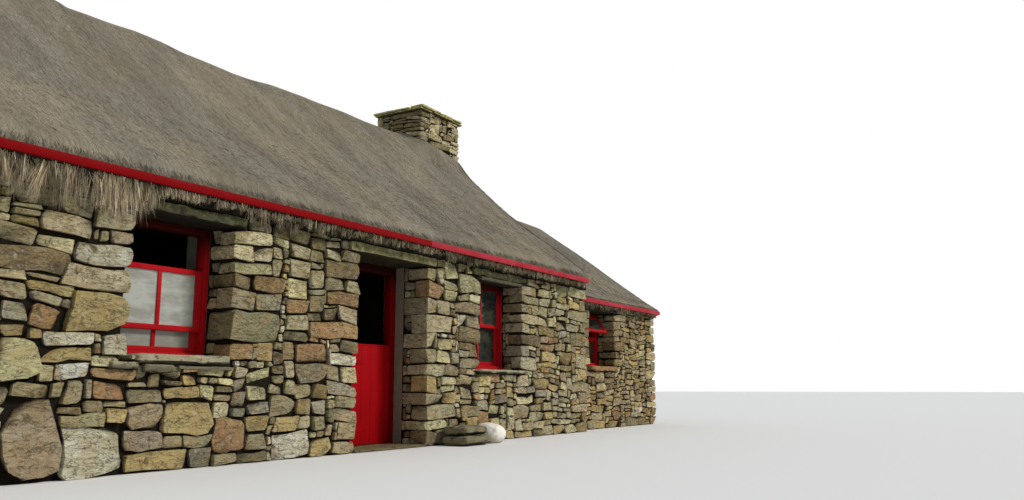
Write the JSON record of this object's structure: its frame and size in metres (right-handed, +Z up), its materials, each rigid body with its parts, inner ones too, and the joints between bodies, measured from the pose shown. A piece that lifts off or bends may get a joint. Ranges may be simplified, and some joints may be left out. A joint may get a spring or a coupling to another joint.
{
  "type": "thatched stone cottage",
  "caption": "Dry-stone cottage with a thatched roof, a red half door, red sash windows, a stone chimney and a lower end block; it stands on the ground and the half door swings outward.",
  "frame": {"origin": "middle of the footprint, on the ground", "axes": "+X along the ridge towards the low block, -Y out of the facade with the doorway, +Z up"},
  "size_m": [13.15, 6.2, 5.24],
  "materials": {
    "stone_wall": "rough rubble, dry laid",
    "stone_slab": "split slab, mossy",
    "pale_stone": "water-worn",
    "floor_flags": "worn flags",
    "thatch": "weathered straw",
    "red_paint": "gloss red paint, weathered",
    "timber": "rough sawn",
    "iron": "forged, dark",
    "glass": "clear"
  },
  "bodies": {
    "house": {"near_gable": "stone_wall", "front_wall_near": "stone_wall", "front_wall_far": "stone_wall", "back_wall": "stone_wall", "main_gable": "stone_wall", "low_front_wall": "stone_wall", "low_end_gable": "stone_wall", "low_back_wall": "stone_wall", "door_lintel": "stone_slab", "threshold": "stone_slab", "door_frame": "red_paint", "hinge_pintles": "iron", "window_lintels": "stone_slab", "window_sills": "stone_slab", "near_window_frame": "red_paint", "near_window_upper_sash": "red_paint", "near_window_lower_sash": "red_paint", "far_window_frame": "red_paint", "far_window_upper_sash": "red_paint", "far_window_lower_sash": "red_paint", "low_window_frame": "red_paint", "low_window_open_light": "red_paint", "back_window_frames": "red_paint", "back_window_sashes": "red_paint", "window_glass": "glass", "main_thatch": "thatch", "low_thatch": "thatch", "main_eaves_boards": "red_paint", "low_eaves_boards": "red_paint", "main_couples": "timber", "low_couples": "timber", "main_purlins": "timber", "low_purlins": "timber", "chimney_breast": "stone_wall", "chimney_stack": "stone_wall", "chimney_cap": "stone_slab", "main_floor": "floor_flags", "low_floor": "floor_flags", "seat_lower_slab": "stone_slab", "seat_upper_slab": "stone_slab", "seat_boulder": "pale_stone"},
    "half_door_leaf": {"half_door": "red_paint", "strap_hinges": "iron"}
  },
  "joints": [
    {"name": "half_door_hinge", "type": "hinge", "parent": "house", "child": "half_door_leaf", "pos_m": [-1.925, -2.23, 0.5], "axis": [0, 0, -1], "range_deg": [0, 90]}
  ]
}
